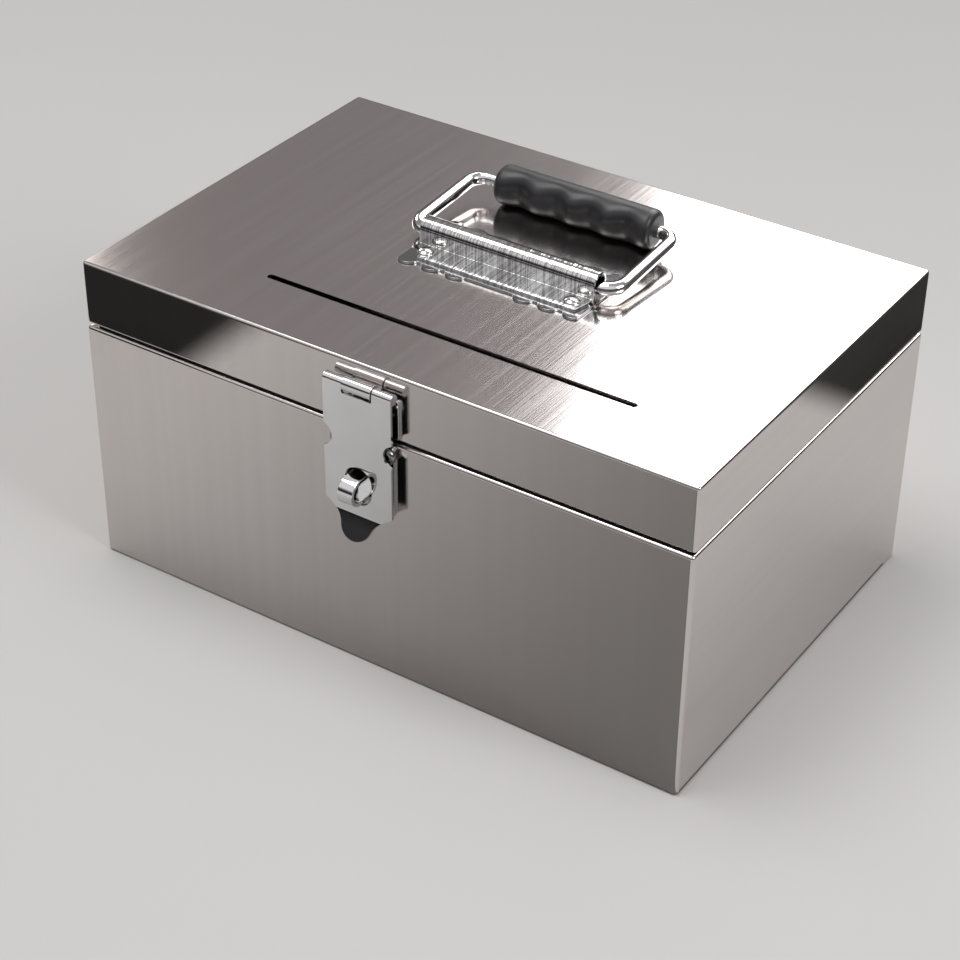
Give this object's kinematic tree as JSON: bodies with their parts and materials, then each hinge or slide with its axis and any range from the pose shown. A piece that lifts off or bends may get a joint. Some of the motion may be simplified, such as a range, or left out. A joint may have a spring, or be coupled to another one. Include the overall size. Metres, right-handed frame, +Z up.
{
  "type": "bus fare box",
  "caption": "Stainless steel bus fare box with a hinged lid, a long coin slot, a drop handle with a black finger grip, and a padlock hasp.",
  "frame": {"origin": "centre of the flat underside of the body", "axes": "+X to the right along the long side, -Y to the front with the hasp, +Z up"},
  "size_m": [0.3, 0.2203, 0.1683],
  "materials": {
    "brushed_steel": "satin brushed stainless sheet",
    "inner_steel": "unpolished stainless sheet",
    "chrome": "bright chrome plate",
    "hinge_steel": "satin stainless",
    "black_grip": "satin black plastic",
    "black_rubber": "matt black rubber"
  },
  "bodies": {
    "case": {"body_shell": "brushed_steel", "mouth_lip": "inner_steel", "lid_seal": "black_rubber", "hinge_body_leaf_left": "hinge_steel", "hinge_body_leaf_right": "hinge_steel", "hinge_pins": "hinge_steel", "hinge_body_rivets": "hinge_steel", "staple_plate": "chrome", "staple_loop": "chrome", "staple_screws": "chrome", "staple_nuts": "hinge_steel"},
    "lid": {"lid_shell": "brushed_steel", "hinge_lid_leaf_left": "hinge_steel", "hinge_lid_leaf_right": "hinge_steel", "hinge_lid_rivets": "hinge_steel", "hasp_leaf": "chrome", "hasp_pin": "chrome", "hasp_rivets": "chrome", "handle_plate": "chrome", "handle_hood": "chrome", "handle_rivets": "chrome", "handle_backing": "inner_steel"},
    "hasp": {"hasp_plate": "chrome"},
    "bail": {"bail_rod": "chrome", "grip": "black_grip"}
  },
  "joints": [
    {"name": "lid_hinge", "type": "hinge", "parent": "case", "child": "lid", "pos_m": [0, 0.103, 0.1195], "axis": [-1, 0, 0], "range_deg": [0, 180]},
    {"name": "hasp_hinge", "type": "hinge", "parent": "lid", "child": "hasp", "pos_m": [-0.0015, -0.1034, 0.1417], "axis": [-1, 0, 0], "range_deg": [0, 188]},
    {"name": "bail_hinge", "type": "hinge", "parent": "lid", "child": "bail", "pos_m": [0.0042, -0.0024, 0.1558], "axis": [1, 0, 0], "range_deg": [0, 171.9]}
  ]
}
